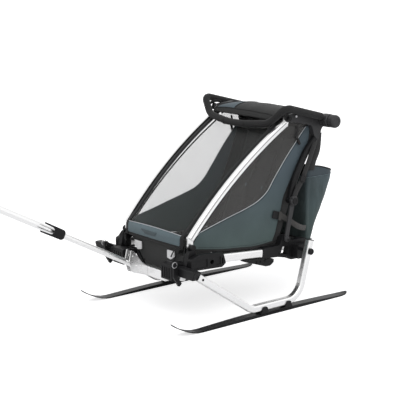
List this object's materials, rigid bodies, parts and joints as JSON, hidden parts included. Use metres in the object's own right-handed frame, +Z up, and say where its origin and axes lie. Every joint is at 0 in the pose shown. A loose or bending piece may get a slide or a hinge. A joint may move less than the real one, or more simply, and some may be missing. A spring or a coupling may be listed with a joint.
{
  "type": "child bike trailer",
  "caption": "Single-seat child trailer in its winter form: folding covered cabin on skis, towed by a telescopic pole, with a swing-over handlebar and a rear luggage bag.",
  "frame": {"origin": "on the snow under the middle of the overall length, in the centre plane", "axes": "+Z up, -Y the way it travels, +X its left side (the side that the skis' near edge shows in the picture)"},
  "size_m": [0.7426, 2.3088, 0.921],
  "materials": {
    "bright_aluminium": "brushed, anodised",
    "black_plastic": "fine grain",
    "grey_casting": "satin powder coat",
    "blue_grey_fabric": "coated polyester weave",
    "black_fabric": "coated polyester weave and fine mesh",
    "black_foam": "closed-cell foam",
    "ski_black": "satin",
    "zinc_steel": "zinc plated",
    "reflector_lens": "clear prismatic lens"
  },
  "bodies": {
    "chassis": {"accessory_socket_left": "black_plastic", "accessory_socket_right": "black_plastic", "arm_sleeve_left": "black_plastic", "arm_sleeve_right": "black_plastic", "axle_beam": "bright_aluminium", "axle_housing_left": "black_plastic", "axle_housing_right": "black_plastic", "axle_pin_left": "zinc_steel", "axle_pin_right": "zinc_steel", "backrest": "black_fabric", "floor_tray": "black_fabric", "footwell": "black_fabric", "front_corner_left": "black_plastic", "front_corner_right": "black_plastic", "front_cross_member": "black_plastic", "hanger_plate_left": "bright_aluminium", "hanger_plate_right": "bright_aluminium", "rail_skid_left": "black_plastic", "rail_skid_right": "black_plastic", "rear_bag": "blue_grey_fabric", "reflector_left": "reflector_lens", "reflector_right": "reflector_lens", "seat_cushion": "black_fabric", "side_panel_left": "blue_grey_fabric", "side_panel_right": "blue_grey_fabric", "side_rail_left": "bright_aluminium", "side_rail_right": "bright_aluminium", "ski_arm_left": "bright_aluminium", "ski_arm_right": "bright_aluminium", "ski_clip_left": "black_plastic", "ski_clip_right": "black_plastic", "ski_connector_left": "black_plastic", "ski_connector_right": "black_plastic", "ski_left": "ski_black", "ski_right": "ski_black", "tow_beam": "bright_aluminium", "tow_yoke": "bright_aluminium"},
    "release_lever_left": {"release_lever_left": "black_plastic"},
    "release_lever_right": {"release_lever_right": "black_plastic"},
    "tow_pole": {"pole_inner_tube": "bright_aluminium"},
    "pole_slide": {"pole_outer_tube": "bright_aluminium", "pole_clamp": "black_plastic", "pole_end_eye": "black_plastic"},
    "clamp_lever": {"clamp_lever": "black_plastic"},
    "front_frame": {"front_post_left": "bright_aluminium", "front_post_right": "bright_aluminium", "front_cover": "black_fabric"},
    "top_frame": {"top_arm_left": "grey_casting", "top_arm_right": "grey_casting", "rear_upright_left": "black_plastic", "rear_upright_right": "black_plastic", "rear_cross_tube": "bright_aluminium", "canopy": "black_fabric"},
    "handlebar": {"handlebar_tube": "grey_casting", "handlebar_foam": "black_foam"},
    "hub_button_left": {"hub_button_left": "grey_casting"},
    "hub_button_right": {"hub_button_right": "grey_casting"},
    "rear_links": {"rear_link_left": "grey_casting", "rear_link_right": "grey_casting"},
    "brake_pedal": {"brake_pedal": "black_plastic"}
  },
  "joints": [
    {"name": "release_lever_left_hinge", "type": "hinge", "parent": "chassis", "child": "release_lever_left", "pos_m": [0.252, 0.1389, 0.286], "axis": [-1, 0, 0], "range_deg": [0, 45], "stiffness_Nm_per_rad": 0.15, "springref_deg": -8.59},
    {"name": "release_lever_right_hinge", "type": "hinge", "parent": "chassis", "child": "release_lever_right", "pos_m": [-0.252, 0.1389, 0.286], "axis": [-1, 0, 0], "range_deg": [0, 45], "stiffness_Nm_per_rad": 0.15, "springref_deg": -8.59},
    {"name": "tow_pole_hinge", "type": "hinge", "parent": "chassis", "child": "tow_pole", "pos_m": [0, 0.1119, 0.2385], "axis": [-1, 0, 0], "range_deg": [0, 45]},
    {"name": "pole_length_slide", "type": "slide", "parent": "tow_pole", "child": "pole_slide", "axis": [0, -0.887, 0.4617], "range_m": [-0.25, 0.15]},
    {"name": "clamp_lever_hinge", "type": "hinge", "parent": "pole_slide", "child": "clamp_lever", "pos_m": [0.0261, -0.28548, 0.44536], "axis": [1, 0, 0], "range_deg": [0, 60]},
    {"name": "frame_fold", "type": "hinge", "parent": "chassis", "child": "front_frame", "pos_m": [0, 0.2439, 0.343], "axis": [-1, 0, 0], "range_deg": [0, 28], "deforming": ["side_panel_left", "side_panel_right", "backrest", "rear_bag"]},
    {"name": "top_fold", "type": "hinge", "parent": "front_frame", "child": "top_frame", "pos_m": [0, 0.7969, 0.855], "axis": [-1, 0, 0], "range_deg": [0, 41.78]},
    {"name": "lower_link_fold", "type": "hinge", "parent": "chassis", "child": "rear_links", "pos_m": [0, 0.7869, 0.3], "axis": [-1, 0, 0], "range_deg": [-76.48, 0]},
    {"name": "handlebar_hinge", "type": "hinge", "parent": "top_frame", "child": "handlebar", "pos_m": [0, 1.0169, 0.83], "axis": [-1, 0, 0], "range_deg": [0, 180]},
    {"name": "hub_button_left_slide", "type": "slide", "parent": "handlebar", "child": "hub_button_left", "axis": [-1, 0, 0], "range_m": [0, 0.004], "stiffness_N_per_m": 900, "springref_m": -0.003},
    {"name": "hub_button_right_slide", "type": "slide", "parent": "handlebar", "child": "hub_button_right", "axis": [1, 0, 0], "range_m": [0, 0.004], "stiffness_N_per_m": 900, "springref_m": -0.003},
    {"name": "brake_pedal_hinge", "type": "hinge", "parent": "chassis", "child": "brake_pedal", "pos_m": [0.1, 0.8979, 0.228], "axis": [-1, 0, 0], "range_deg": [0, 15]}
  ],
  "couplings": [
    {"joint": "top_fold", "follows": "frame_fold", "ratio": 1.4922},
    {"joint": "lower_link_fold", "follows": "frame_fold", "ratio": -2.7315}
  ]
}
